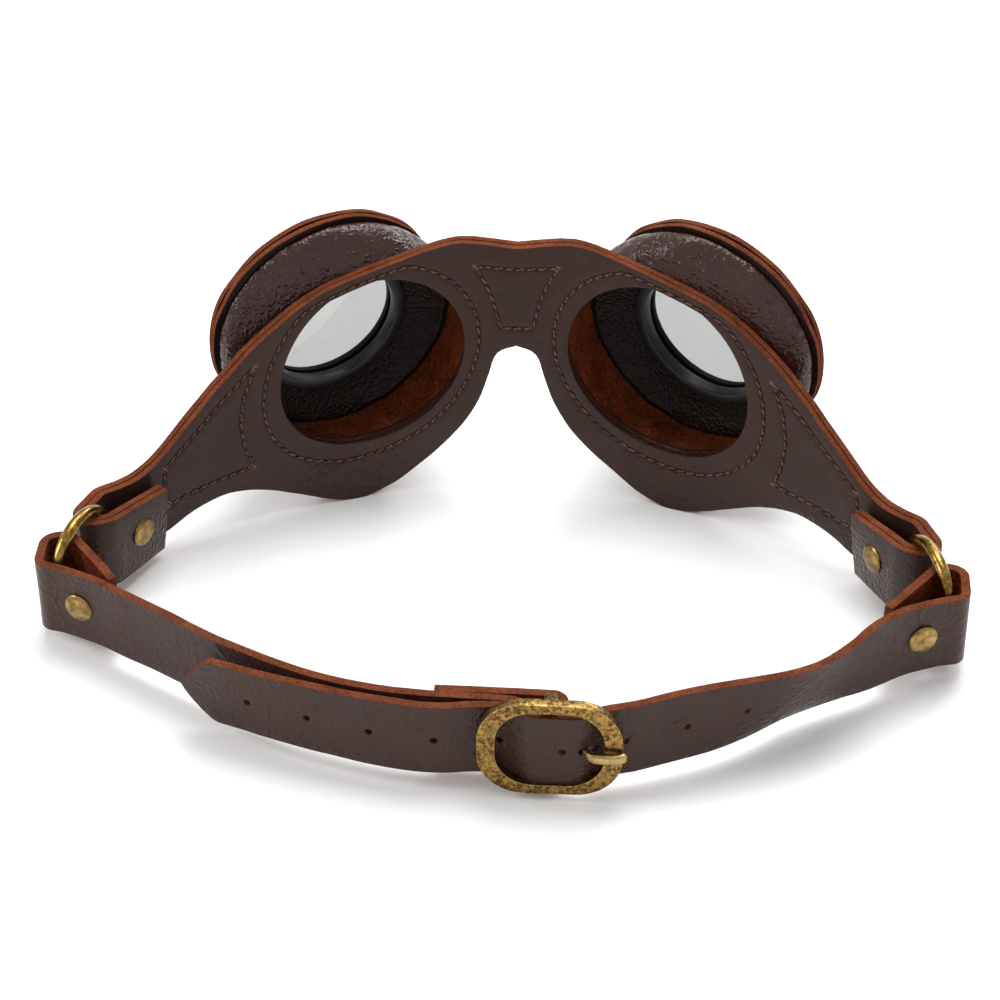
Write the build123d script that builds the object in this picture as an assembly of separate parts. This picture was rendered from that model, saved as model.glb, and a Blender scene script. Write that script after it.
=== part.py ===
from build123d import *
import math
import os

# Leather motorcycle goggles with a buckled head strap.
# +X is the wearer's right, +Y the way the wearer looks, +Z up. The goggles
# stand on a table at Z = 0, on their lower mask lobes, rings and buckle.

# Driving dimensions, millimetres and degrees.
layer = 1.7                 # one layer of mask leather
mask_front_y = 40.0         # mask sheet at the middle of the nose bridge
patch_thick = 1.6
strap_width = 18.0
strap_thick = 2.0
ring_inner = 10.4           # brass O-ring between a tab and the strap
ring_wire = 1.4             # radius of the ring's wire
ring_heading = 68.0         # plan angle of a ring's plane from the X axis
ring_place = (95.6, -14.0)  # plan position of the right ring's middle
table_gap = 0.1
rivet_cap = 3.5
seat_rivet_cap = 2.5
rivet_post = 1.3
cap_thick = 0.9
cup_yaw = 31.0              # how far each lens looks outward
cup_pitch = 9.0             # and upward
brim_middle = (47.0, 48.5, 43.0)
brim_radius = 29.0
brim_layer = 1.6            # each brim is two leather rings this thick
glass_opening = 16.6        # radius of the hole in the front ring of a brim
lens_radius = 18.5
lens_thick = 2.0
wall_thick = 1.6
wall_outer = 26.2           # radius of the cup wall where it meets the brim
collar_outer = 20.5         # leather collar inside the cup, behind the glass
collar_inner = 19.1
collar_long = 5.2
retainer_inner = 16.3       # black ring that presses the glass to the brim
retainer_long = 3.2
eye_middle = (34.3, 35.7, 37.6)
eye_turn = 16.0             # plan angle of the mask sheet at the eye
eye_half_long = 24.5        # the opening is an oval that leans towards the nose
eye_half_short = 20.2
eye_lean = 45.0
wall_root = 4.0             # the cup wall starts this far behind the eye's middle
buckle_long = 33.5
buckle_bar = 3.9            # side bars of the frame
buckle_rail = 3.0           # top and bottom rails of the frame
buckle_thick = 3.0
buckle_corner = 11.5        # corner radius of the frame outside, then of its window
window_corner = 9.0
frame_round = 0.7
buckle_x = 13.5             # centre bar of the buckle
buckle_front = -74.2        # front face of the frame
pivot_back = 6.4            # centre bar behind the frame's front face
pivot_radius = 1.3
pivot_slack = 0.05
lug_long = 4.4              # the lugs that carry the centre bar
lug_tall = 2.2
lug_bite = 1.2              # how deep a lug stands inside the frame
prong_tall = 2.2
prong_thick = 1.8
prong_eye = 2.3             # radius of the prong's eye round the centre bar
hole_radius = 0.8
hole_pitch = 14.0
first_hole = 16.0           # from the strap's tip
hole_count = 9
slot_tall = 3.4             # slots where the prong and the bar pass the straps
cap_round = 0.5
cap_grip = 0.25             # a strap rivet's cap stands off the curved leather

ring_mid = ring_inner + ring_wire
ring_z = ring_mid + ring_wire + table_gap
strap_low = ring_z - strap_width / 2
strap_high = strap_low + strap_width
buckle_tall = 2 * (ring_z - table_gap)
pivot_y = buckle_front + pivot_back
sheet = 2 * layer
loop_gap = 2.1              # half the cavity that holds the wire in a tab
loop_side = loop_gap + layer
loop_bottom = 4.8           # wire side of both leather loops from the ring's middle
skin = 0.05                 # gap between pieces that are sewn or pressed together
half_thick = strap_thick / 2
glass_back = -brim_layer - skin - lens_thick
below_all = -1.0            # heights and a reach beyond the whole object, for cutting
above_all = 80.0
beyond_all = 200.0

nodes = {}


def keep(name, shape):
    nodes[name] = shape


def mirrored(shape):
    return mirror(shape, about=Plane.YZ)


def ring_point(along, across):
    """A plan point from the right ring's middle: along its plane, away from the mask,
    and across it, away from the head."""
    turn = math.radians(ring_heading)
    x = ring_place[0] + along * math.cos(turn) + across * math.sin(turn)
    y = ring_place[1] - along * math.sin(turn) + across * math.cos(turn)
    return (x, y)


def middle_line(points, radii):
    return FilletPolyline(*points, radius=radii)


def beside(piece, share, shift):
    """The point at a share of one edge, moved sideways to the left of its run."""
    spot = piece @ share
    run = piece % share
    return Vector(spot.X - run.Y * shift, spot.Y + run.X * shift)


def parallel(line, shift):
    """A plan curve of lines and arcs at an even distance from another one."""
    pieces = []
    for piece in line.edges():
        start, half, end = (beside(piece, share, shift) for share in (0, 0.5, 1))
        straight = piece.geom_type == GeomType.LINE
        pieces.append(Line(start, end) if straight else ThreePointArc(start, half, end))
    return pieces


def strip(line, near, far, low, high):
    """Sheet leather standing on edge: the room between two parallels of a plan curve."""
    one = parallel(line, near)
    two = parallel(line, far)
    ends = [Line(one[0] @ 0, two[0] @ 0), Line(one[-1] @ 1, two[-1] @ 1)]
    plan = make_face([*one, *two, *ends])
    return extrude(Pos(0, 0, low) * plan, high - low, dir=(0, 0, 1))


def side_profile(outline):
    """A slab through everything, with an outline seen from the front."""
    return extrude(Plane.XZ * make_face(outline), beyond_all, both=True)


def disc_at(place, out, radius, thick):
    """A flat disc standing on a point, with its thickness along a direction."""
    plane = Plane(origin=place, z_dir=out)
    return plane * Pos(0, 0, thick / 2) * Cylinder(radius, thick)


# Mask: two sewn layers that follow the face, and run into a tab on each side.
# A tab goes through its ring and folds back on the head side, under a rivet.
tab_start = (84.0, 7.99)
tab_end = (86.5, 6.06)
face_points = [(0, mask_front_y), (14, mask_front_y), (42, 34.6), (66, 21.9), tab_end]
face_radii = [95, 90, 115]
fold_points = [
    tab_start,
    (88.3, 4.67),
    ring_point(-14.2, loop_side),
    ring_point(-loop_bottom + layer, loop_side),
    ring_point(-loop_bottom + layer, -loop_side),
    ring_point(-12.8, -loop_side),
    (80.7, 6.1),
]
fold_radii = [6, 6, loop_side - 0.05, loop_side - 0.05, 6]
face_line = middle_line(face_points, face_radii)
fold_line = middle_line(fold_points, fold_radii)


def mask_outline():
    top = [(0, 67.5), (13, 68.8), (22, 66.6), (34, 62.1), (47, 57.2), (59, 49.0),
           (67, 41.2), (76, 31.8), (83, 25.2), (90, strap_high)]
    bottom = [(90, strap_low), (83, 5.2), (75, 8.4), (68, 9.6), (61, 8.0), (53, 4.4), (46, 1.4),
              (38, 0.0), (31, 2.0), (24.5, 6.6), (18.5, 12.0), (13, 18.4), (9, 25.4),
              (6.5, 33.0), (4.5, 38.8), (0, 41)]
    upper = Spline(*top, tangents=[(1, 0.05), (1, -0.5)])
    lower = Spline(*bottom, tangents=[(-1, 0.05), (-1, 0)])
    edge = Line(top[-1], bottom[0])
    seam = Line(bottom[-1], top[0])
    return side_profile([upper, edge, lower, seam])


def eye_plane(depth):
    turn = math.radians(eye_turn)
    out = Vector(math.sin(turn), math.cos(turn), 0)
    return Plane(origin=Vector(*eye_middle) + out * depth, x_dir=(out.Y, -out.X, 0), z_dir=out)


def eye_oval(extra):
    return Rot(0, 0, eye_lean) * Ellipse(eye_half_long + extra, eye_half_short + extra)


def eye_opening(reach):
    return extrude(eye_plane(0) * eye_oval(0), reach, both=True)


def mask_layer(near, far):
    face = strip(face_line, near, far, below_all, above_all) & mask_outline()
    fold = strip(fold_line, near, far, strap_low, strap_high)
    half = face - eye_opening(30) + fold
    return half + mirrored(half)


keep("mask_outer_layer", mask_layer(skin / 2, layer))
keep("mask_inner_layer", mask_layer(-layer, -skin / 2))


# Patches sewn on the front face: one over the nose bridge, one beside each eye.
def patch(outline):
    closed = [Line(a, b) for a, b in zip(outline, outline[1:] + outline[:1])]
    under = layer + skin
    sheet_room = strip(face_line, under, under + patch_thick, below_all, above_all)
    return sheet_room & side_profile(closed)


bridge_half = patch([(0, 62.0), (10.5, 63.0), (6.2, 52.0), (4.4, 42.5), (0, 42.5)])
side_patch = patch([(61.5, 42.0), (80.5, 22.5), (80.5, 12.0), (63.5, 14.5)])
keep("bridge_patch", bridge_half + mirrored(bridge_half))
keep("side_patch_right", side_patch)
keep("side_patch_left", mirrored(side_patch))


# Eye cups: a leather wall from the mask to a round brim of two leather rings,
# with the glass between them, held from behind by a collar and a black ring.
def cup_plane(depth):
    yaw = math.radians(cup_yaw)
    pitch = math.radians(cup_pitch)
    out = Vector(math.sin(yaw) * math.cos(pitch), math.cos(yaw) * math.cos(pitch), math.sin(pitch))
    level = Vector(out.Y, -out.X, 0)
    return Plane(origin=Vector(*brim_middle) + out * depth, x_dir=level, z_dir=out)


def ring_between(depth, thick, outer, inner):
    plate = Cylinder(outer, thick) - Cylinder(inner, thick + 1)
    return cup_plane(depth) * Pos(0, 0, thick / 2) * plate


def cup_shell(inset):
    root = eye_plane(-wall_root) * eye_oval(wall_thick - inset)
    rim = cup_plane(-2 * brim_layer - skin) * Rot(0, 0, eye_lean) * Circle(wall_outer - inset)
    return loft([root, rim])


def behind_front_face():
    front = parallel(face_line, layer + skin)
    start = front[0] @ 0
    end = front[-1] @ 1
    corners = [end, Vector(120, end.Y), Vector(120, -40), Vector(0, -40), start]
    closing = [Line(a, b) for a, b in zip(corners, corners[1:])]
    return extrude(Pos(0, 0, -20) * make_face([*front, *closing]), 120, dir=(0, 0, 1))


cup_parts = {
    "cup_wall": cup_shell(0) - cup_shell(wall_thick) - behind_front_face(),
    "brim_back": ring_between(-2 * brim_layer - skin / 2, brim_layer - skin / 2, brim_radius,
                              lens_radius + skin),
    "brim_front": ring_between(-brim_layer, brim_layer, brim_radius, glass_opening),
    "lens": cup_plane(glass_back) * Pos(0, 0, lens_thick / 2) * Cylinder(lens_radius, lens_thick),
    "lens_retainer": ring_between(glass_back - retainer_long - skin, retainer_long,
                                  collar_inner - skin, retainer_inner),
    "cup_collar": ring_between(-2 * brim_layer - skin - collar_long, collar_long,
                               collar_outer, collar_inner),
}
for name, shape in cup_parts.items():
    keep(f"{name}_right", shape)
    keep(f"{name}_left", mirrored(shape))


# Rings: brass wire, standing on edge through the tab and the strap on each side.
def o_ring():
    turn = math.radians(ring_heading)
    across = Vector(math.sin(turn), math.cos(turn), 0)
    plane = Plane(origin=(*ring_place, ring_z), z_dir=across)
    return plane * Torus(ring_mid, ring_wire)


keep("ring_right", o_ring())
keep("ring_left", mirrored(o_ring()))


# Strap: the right half carries the holes and the pointed end, the left half
# holds the buckle. Each half folds round its ring, with the short end inside.
def soft_line(points):
    """A plan line with every corner rounded as widely as its two runs allow."""
    corners = [Vector(*point) for point in points]
    radii = []
    for before, corner, after in zip(corners, corners[1:], corners[2:]):
        turn = (corner - before).get_angle(after - corner)
        shorter = min((corner - before).length, (after - corner).length)
        radii.append(0.45 * shorter / math.tan(math.radians(turn / 2)))
    return middle_line(points, radii)


wire_x, wire_y = ring_point(ring_mid, 0)
loop_points = [
    (85.3, -31.6),
    ring_point(2.1, 1.2),
    ring_point(5.7, 5.7),
    (wire_x + 2.8, wire_y - 2.0),
    (wire_x - 1.5, wire_y - 3.0),
]
right_run = [
    (89.5, -31.7), (83.5, -36.4), (76.5, -42.7), (69.0, -48.6), (60.5, -54.0),
    (50, -59.4), (40, -63.6), (31.5, -67.6), (22.5, -69.4), (17.5, -72.7), (9.5, -72.7),
    (4.5, -69.4), (-3.2, -69.6), (-8.5, -70.5), (-15, -70.4), (-25, -68.6), (-38, -65.2),
    (-51, -60.9), (-66.8, -55.0),
]
wrap = pivot_radius + 0.3 + strap_thick / 2
left_run = [
    (-89.5, -31.8), (-82.0, -36.4), (-72.0, -42.7), (-60.0, -50.3), (-48.0, -57.2),
    (-37, -61.8), (-26, -65.0), (-14, -66.7), (0, -67.0), (6.5, -67.5),
    (buckle_x - wrap - 0.6, pivot_y - wrap), (buckle_x + wrap, pivot_y - wrap),
    (buckle_x + wrap, pivot_y + wrap), (6.0, -64.75), (-11.4, -64.7),
]
right_line = soft_line(loop_points + right_run)
left_line = soft_line([(-x, y) for x, y in loop_points] + left_run)
strap_right = strip(right_line, -half_thick, half_thick, strap_low, strap_high)
strap_left = strip(left_line, -half_thick, half_thick, strap_low, strap_high)


# The free end is cut to a blunt point, and holes run along the middle of the strap.
def pointed_end():
    tip_x = right_run[-1][0]
    tip = (tip_x, ring_z)
    shoulders = [(tip_x + 7.5, strap_low - 1), (tip_x + 7.5, strap_high + 1)]
    lower = ThreePointArc(tip, (tip_x + 2.6, ring_z - 6.2), shoulders[0])
    upper = ThreePointArc(shoulders[1], (tip_x + 2.6, ring_z + 6.2), tip)
    far = [(150, strap_low - 1), (150, strap_high + 1)]
    rest = [Line(shoulders[0], far[0]), Line(far[0], far[1]), Line(far[1], shoulders[1])]
    return side_profile([lower, *rest, upper])


def strap_hole(from_tip):
    place = right_line.location_at(right_line.length - from_tip, position_mode=PositionMode.LENGTH)
    run = right_line.tangent_at(right_line.length - from_tip, position_mode=PositionMode.LENGTH)
    through = Plane(origin=(place.position.X, place.position.Y, ring_z), z_dir=(run.Y, -run.X, 0))
    return through * Cylinder(hole_radius, 3 * strap_thick)


strap_right = strap_right & pointed_end()
for count in range(hole_count):
    strap_right -= strap_hole(first_hole + count * hole_pitch)
strap_right -= Pos(buckle_x + 5.9, buckle_front + 3, ring_z) * Box(7.6, 9, slot_tall)
strap_left -= Pos(buckle_x + 1.8, pivot_y, ring_z) * Box(9, 12, slot_tall)


# Buckle: a flat rounded brass frame, with a centre bar set back on two lugs,
# and a prong that turns on that bar and rests on the right-hand side.
def buckle_frame():
    plane = Plane(origin=(buckle_x, buckle_front, ring_z), x_dir=(1, 0, 0), z_dir=(0, 1, 0))
    outline = RectangleRounded(buckle_long, buckle_tall, buckle_corner)
    window_tall = buckle_tall - 2 * buckle_rail
    window = RectangleRounded(buckle_long - 2 * buckle_bar, window_tall, window_corner)
    frame = extrude(plane * (outline - window), buckle_thick)
    frame = fillet(frame.edges().group_by(Axis.Y)[0], frame_round)
    lug_deep = pivot_back + 0.6
    lug = Box(lug_long, lug_deep, lug_tall)
    lug_y = buckle_front + lug_bite + lug_deep / 2
    lug_z = (window_tall + lug_tall) / 2
    for side in (-1, 1):
        frame += Pos(buckle_x, lug_y, ring_z + side * lug_z) * lug
    return frame + Pos(buckle_x, pivot_y, ring_z) * Cylinder(pivot_radius, 2 * lug_z)


def buckle_prong():
    half = prong_tall / 2
    side = prong_thick / 2
    reach = [(buckle_x + 1.9, pivot_y - 0.9), (18.2, -71.2), (22.6, buckle_front - 1.15),
             (28.4, buckle_front - 1.15), (30.3, buckle_front - 1.0)]
    body = strip(soft_line(reach), -side, side, ring_z - half, ring_z + half)
    eye = Pos(buckle_x, pivot_y, ring_z) * Cylinder(prong_eye, prong_tall)
    bar_room = Pos(buckle_x, pivot_y, ring_z) * Cylinder(pivot_radius + pivot_slack, 2 * prong_tall)
    return body + eye - bar_room


keep("buckle_frame", buckle_frame())
keep("buckle_prong", buckle_prong())


# Rivets: each has a domed cap with a post on the showing side, and a flat cap behind.
def rivet(radius, face, face_out, back, back_out):
    face, back = Vector(*face, ring_z), Vector(*back, ring_z)
    face_out, back_out = Vector(*face_out).normalized(), Vector(*back_out).normalized()
    run = back - face
    through = Plane(origin=face, z_dir=run)
    middle = Pos(0, 0, run.length / 2)
    post = through * middle * Cylinder(rivet_post, run.length)
    hole = through * middle * Cylinder(rivet_post, run.length + 4)
    cap = disc_at(face + face_out * skin, face_out, radius, cap_thick)
    top = cap.faces().sort_by(Axis(origin=face, direction=face_out))[-1]
    cap = fillet(top.edges(), cap_round)
    back_cap = disc_at(back + back_out * skin, back_out, radius, cap_thick)
    post += through * Pos(0, 0, -0.2) * Cylinder(rivet_post, 0.8)
    return cap + post, back_cap - post, hole


def leaf_spot(start, end, distance, offset):
    """A point along a straight leaf, moved sideways to its left when offset is positive,
    and the direction of that move."""
    run = (Vector(*end) - Vector(*start)).normalized()
    out = Vector(-run.Y, run.X) * math.copysign(1, offset)
    spot = Vector(*start) + run * distance + out * abs(offset)
    return (spot.X, spot.Y), (out.X, out.Y)


tab_face = leaf_spot(fold_points[-1], fold_points[-2], 8.7, -layer - skin)
tab_back = leaf_spot(fold_points[0], fold_points[1], 5.2, layer + skin)
strap_face = leaf_spot(loop_points[-1], right_run[0], 5.6, half_thick + cap_grip)
strap_back = leaf_spot(loop_points[0], loop_points[1], 8.6, half_thick)
seat_face = leaf_spot((-14, -66.7), (0, -67.0), 5.1, -half_thick)
seat_back = leaf_spot((-11.4, -64.7), (6.0, -64.75), 2.5, half_thick)
tab_right = rivet(rivet_cap, *tab_face, *tab_back)
strap_rivet_right = rivet(rivet_cap, *strap_face, *strap_back)
seat = rivet(seat_rivet_cap, *seat_face, *seat_back)
for name, parts in {"tab_rivet": tab_right, "strap_rivet": strap_rivet_right}.items():
    keep(f"{name}_right", parts[0])
    keep(f"{name}_back_right", parts[1])
    keep(f"{name}_left", mirrored(parts[0]))
    keep(f"{name}_back_left", mirrored(parts[1]))
keep("buckle_seat_rivet", seat[0])
keep("buckle_seat_rivet_back", seat[1])
for side in (tab_right[2], mirrored(tab_right[2])):
    nodes["mask_outer_layer"] -= side
    nodes["mask_inner_layer"] -= side
keep("strap_right", strap_right - strap_rivet_right[2])
keep("strap_left", strap_left - mirrored(strap_rivet_right[2]) - seat[2])

# The origin is under the middle of the whole object, on the table.
whole = Compound(children=[Pos(0, 0, 0) * shape for shape in nodes.values()]).bounding_box()
shift = Pos(-whole.center().X, -whole.center().Y, -whole.min.Z)
os.makedirs("parts", exist_ok=True)
for name, shape in nodes.items():
    export_step(shift * shape, f"parts/{name}.step")
print("moved by", shift.position, "size", whole.size)
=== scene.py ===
import bisect
import math

import bmesh
import bpy
from mathutils import Matrix, Vector, geometry, noise


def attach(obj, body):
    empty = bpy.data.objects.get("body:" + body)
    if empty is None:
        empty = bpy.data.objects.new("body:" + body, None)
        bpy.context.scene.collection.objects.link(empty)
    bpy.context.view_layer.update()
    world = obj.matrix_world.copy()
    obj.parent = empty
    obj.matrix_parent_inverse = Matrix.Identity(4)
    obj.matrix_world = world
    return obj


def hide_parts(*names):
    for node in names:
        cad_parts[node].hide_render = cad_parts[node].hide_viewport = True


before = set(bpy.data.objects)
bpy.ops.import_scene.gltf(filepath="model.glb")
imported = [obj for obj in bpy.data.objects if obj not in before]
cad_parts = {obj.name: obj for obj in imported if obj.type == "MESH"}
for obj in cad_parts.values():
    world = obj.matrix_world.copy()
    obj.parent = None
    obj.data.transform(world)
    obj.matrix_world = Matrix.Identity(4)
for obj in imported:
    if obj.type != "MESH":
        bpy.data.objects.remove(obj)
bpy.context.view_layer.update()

# Mask, inner layer: vegetable-tanned cowhide, grain side to the face, cut flat with its
# eye openings and side tabs, then bent round the brow. Each tab goes through its brass
# ring and folds back on the head side. Awl lines are pressed in where it is sewn.
MM = 0.001
DRAWING_SHIFT = Vector((0.0, 6.158, 0.019))  # from the drawing's origin to the part's, mm
HIDE_STEP = 2.2                              # spacing of the scoring that lets a flat cut bend, mm
mid_height = 13.3                            # middle of the tabs and the strap above the table, mm
tab_half = 9.0
hide_from, hide_to = 0.17, 1.7               # one layer, from the glue line to its grain face, mm
wire_half = 3.8                              # half the width of the fold round the ring, mm
ring_place = Vector((95.6, -14.0))
ring_turn = math.radians(68.0)


def ring_point(along, across):
    """A plan point from the right ring's middle, along its plane and across it."""
    c, s = math.cos(ring_turn), math.sin(ring_turn)
    return ring_place + Vector((along * c + across * s, across * c - along * s))


class Route:
    """A plan route of straight runs and rounded corners, measured along its length."""

    def __init__(self, points, radii):
        corners = [Vector(point) for point in points]
        path = [corners[0]]
        for before, corner, after, radius in zip(corners, corners[1:], corners[2:], radii):
            back, on = (before - corner).normalized(), (after - corner).normalized()
            turn = math.pi - back.angle(on)
            middle = corner + (back + on).normalized() * radius / math.cos(turn / 2)
            start = corner + back * radius * math.tan(turn / 2) - middle
            end = corner + on * radius * math.tan(turn / 2) - middle
            steps = 2 + int(math.degrees(turn) / 5)
            path += [middle + start.slerp(end, k / steps) * radius for k in range(steps + 1)]
        path.append(corners[-1])
        self.path = [p for p, q in zip(path, path[1:]) if (q - p).length > 1e-3] + [path[-1]]
        self.far = [0.0]
        for p, q in zip(self.path, self.path[1:]):
            self.far.append(self.far[-1] + (q - p).length)
        runs = [(q - p).normalized() for p, q in zip(self.path, self.path[1:])]
        heads = [runs[0], *((a + b).normalized() for a, b in zip(runs, runs[1:])), runs[-1]]
        self.left = [Vector((-h.y, h.x)) for h in heads]
        self.length = self.far[-1]

    def at(self, length):
        """The place on the route and the direction to its left, that far along it."""
        k = min(max(bisect.bisect(self.far, length), 1), len(self.path) - 1)
        share = (length - self.far[k - 1]) / (self.far[k] - self.far[k - 1])
        left = self.left[k - 1].lerp(self.left[k], min(max(share, 0), 1)).normalized()
        return self.path[k - 1].lerp(self.path[k], share), left

    def nearest(self, spot):
        """How far along the route a plan point lies."""
        spot, best = Vector(spot), (1e9, 0.0)
        for p, q, far in zip(self.path, self.path[1:], self.far):
            share = min(max((spot - p).dot(q - p) / (q - p).length_squared, 0), 1)
            best = min(best, ((p.lerp(q, share) - spot).length, far + share * (q - p).length))
        return best[1]


mask_route = Route(
    [(0, 40), (14, 40), (42, 34.6), (66, 21.9), (88.3, 4.67), ring_point(-14.2, wire_half),
     ring_point(-3.1, wire_half), ring_point(-3.1, -wire_half), ring_point(-12.8, -wire_half),
     (80.7, 6.1)],
    [95, 90, 115, 6, 3.75, 3.75, 6],
)
leaf_start = mask_route.length - 20.0
leaf_drop = 1.5                              # the folded-back leaf hangs a little, mm
leaf_gape = 1.3                              # and its top edge stands off the mask, mm


def along_mask(x):
    """The length along the flat cut at a width x from the middle of the bridge."""
    return mask_route.nearest((x, 0)) if x > 86 else next(
        far + (x - p.x) / max(q.x - p.x, 1e-6) * (q - p).length
        for p, q, far in zip(mask_route.path, mask_route.path[1:], mask_route.far)
        if p.x <= x <= q.x
    )


def leaf_share(u):
    return min(max((abs(u) - leaf_start) / (mask_route.length - leaf_start), 0), 1)


def on_mask(u, z, t):
    """A point of the bent mask from its place on the flat cut. t is through the layers,
    0 at the glue line and positive on the front."""
    side = -1 if u < 0 else 1
    u = abs(u)
    place, left = mask_route.at(u)
    leaf = leaf_share(u)
    lobe = math.exp(-(((u - 45) / 15) ** 2)) * max(0, 1 - z / 16) ** 2
    ripple = noise.noise(Vector((u / 13, z / 11, 2.5 * side))) * min(1, u / 10) * (1 - leaf)
    t += leaf * leaf_gape * (z - mid_height) / tab_half - 1.6 * lobe + 0.3 * ripple
    return Vector((side * (place.x + left.x * t), place.y + left.y * t, z - leaf_drop * leaf))


def through(points, per=5, closed=False):
    """A smooth line through flat points, as closely spaced points."""
    knots = [Vector(p) for p in points]
    if closed:
        knots = [knots[-1], *knots, knots[0], knots[1]]
    else:
        knots = [2 * knots[0] - knots[1], *knots, 2 * knots[-1] - knots[-2]]
    line = []
    for a, b, c, d in zip(knots, knots[1:], knots[2:], knots[3:]):
        reach = (c - b).length / 3
        start, end = b + (c - a).normalized() * reach, c - (d - b).normalized() * reach
        line += geometry.interpolate_bezier(b, start, end, c, per + 1)[:-1]
    return [Vector(p[:2]) for p in line] + ([] if closed else [knots[-2]])


def oval(middle, half_long, half_short, lean, count=72):
    """Points round an oval whose long axis leans down and outward."""
    c, s = math.cos(math.radians(lean)), math.sin(math.radians(lean))
    turns = [2 * math.pi * k / count for k in range(count)]
    flat = [(half_long * math.cos(a), half_short * math.sin(a)) for a in turns]
    return [Vector((middle[0] + a * c - b * s, middle[1] - a * s - b * c)) for a, b in flat]


def grown(line, extra):
    """A closed line moved outward all round."""
    area = sum(a.x * b.y - b.x * a.y for a, b in zip(line, line[1:] + line[:1]))
    out = []
    for a, b, c in zip(line[-1:] + line[:-1], line, line[1:] + line[:1]):
        run = (c - a).normalized()
        out.append(b + Vector((run.y, -run.x)) * extra * math.copysign(1, area))
    return out


def other_side(line):
    return [Vector((-p.x, p.y)) for p in line]


def spaced(line, step):
    """A closed line with its points at an even spacing, its corners rounded off by it."""
    far = [0.0]
    for a, b in zip(line, line[1:] + line[:1]):
        far.append(far[-1] + (b - a).length)
    count = max(12, round(far[-1] / step))
    out = []
    for k in range(count):
        want = far[-1] * k / count
        i = bisect.bisect(far, want) - 1
        share = (want - far[i]) / (far[i + 1] - far[i])
        out.append(line[i].lerp(line[(i + 1) % len(line)], share))
    return out


def flat_ring(bm, line):
    verts = [bm.verts.new((p.x, 0, p.y)) for p in line]
    return [bm.edges.new((a, b)) for a, b in zip(verts, verts[1:] + verts[:1])]


def cut_hide(outline, holes=(), seams=(), steps=(HIDE_STEP, HIDE_STEP), fine=()):
    """A flat cut of leather in X and Z, scored into a grid so that it can bend. A seam is
    a closed line and the holes inside it, with an awl groove pressed along it."""
    bm = bmesh.new()
    seam_layer = bm.verts.layers.float.new("seam")
    outside = flat_ring(bm, outline)
    for hole in holes:
        outside += flat_ring(bm, hole)
    for line, inner_holes in seams:
        line = spaced(line, 1.3)
        outer, groove, inner = (flat_ring(bm, grown(line, d)) for d in (0.75, 0, -0.75))
        # The groove's middle is marked, to be pushed in and painted dark as shade of the groove.
        for edge in groove:
            for vert in edge.verts:
                vert[seam_layer] = 1
        bmesh.ops.bridge_loops(bm, edges=outer + groove)
        bmesh.ops.bridge_loops(bm, edges=groove + inner)
        outside += outer
        for hole in inner_holes:
            inner += flat_ring(bm, hole)
        bmesh.ops.triangle_fill(bm, use_beauty=True, edges=inner, normal=(0, -1, 0))
    bmesh.ops.triangle_fill(bm, use_beauty=True, edges=outside, normal=(0, -1, 0))
    spots = [v.co.copy() for v in bm.verts]
    for axis, step in ((0, steps[0]), (2, steps[1])):
        low, high = min(s[axis] for s in spots), max(s[axis] for s in spots)
        cuts = [low + step * k for k in range(1, int((high - low) / step) + 1)]
        if axis == 0:
            cuts = [c for c in cuts if not any(start <= c <= end for start, end, close in fine)]
            for start, end, close in fine:
                cuts += [start + close * k for k in range(int((end - start) / close))]
        score(bm, axis, sorted(cuts))
    return bm


def score(bm, axis, cuts):
    """Cuts a flat sheet along planes across one axis, in rising order."""
    across = Vector((1, 0, 0)) if axis == 0 else Vector((0, 0, 1))
    ahead = bm.faces[:]
    for cut in cuts:
        reach = [(f, [v.co[axis] for v in f.verts]) for f in ahead if f.is_valid]
        ahead = [f for f, at in reach if max(at) > cut + 1e-4]
        hit = [f for f, at in reach if min(at) < cut - 1e-4 and max(at) > cut + 1e-4]
        edges = {e for f in hit for e in f.edges}
        verts = {v for f in hit for v in f.verts}
        made = bmesh.ops.bisect_plane(bm, geom=[*verts, *edges, *hit], dist=1e-4,
                                      plane_co=across * cut, plane_no=across)["geom"]
        known = set(ahead)
        ahead += [f for f in made if isinstance(f, bmesh.types.BMFace) and f not in known]


def thicken(bm, grain_t, flesh_t, groove=0.35, round_off=0.22, darkened_edge=None):
    """Gives a flat cut its thickness, rounds its edges and marks its faces: 0 the grain
    side or a cut edge given the grain colour, 1 the raw edge, 2 the flesh side."""
    seam_layer = bm.verts.layers.float["seam"]
    bmesh.ops.recalc_face_normals(bm, faces=bm.faces[:])
    for vert in bm.verts:
        vert.co.y = grain_t
    bmesh.ops.solidify(bm, geom=bm.faces[:], thickness=abs(flesh_t - grain_t))
    inward, thick = math.copysign(1, flesh_t - grain_t), abs(flesh_t - grain_t)
    for vert in bm.verts:
        if abs(vert.co.y - grain_t) > 1e-5:
            vert.co.y, vert[seam_layer] = flesh_t, 0
    bmesh.ops.recalc_face_normals(bm, faces=bm.faces[:])
    bm.normal_update()
    corners = [e for e in bm.edges if len(e.link_faces) == 2
               and sum(abs(f.normal.y) < 0.5 for f in e.link_faces) == 1]
    bmesh.ops.bevel(bm, geom=corners, offset=round_off, segments=2, profile=0.5, affect="EDGES",
                    material=-1, clamp_overlap=True)
    bm.normal_update()
    for face in bm.faces:
        depths = [abs(vert.co.y - grain_t) for vert in face.verts]
        face.material_index = 0 if max(depths) < 1e-3 else 2 if min(depths) > thick - 1e-3 else 1
        middle = face.calc_center_median()
        if darkened_edge and face.material_index == 1 and darkened_edge(abs(middle.x), middle.z):
            face.material_index = 0
    for vert in bm.verts:
        vert.co.y += inward * groove * vert[seam_layer]


def add_node(tree, kind, values=None, links=None, **settings):
    """Adds a node with its settings, its sockets' values and the links into it."""
    node = tree.nodes.new(kind)
    for name, value in settings.items():
        setattr(node, name, value)
    for socket, value in (values or {}).items():
        node.inputs[socket].default_value = value
    for socket, source in (links or {}).items():
        tree.links.new(source, node.inputs[socket])
    return node


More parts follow.
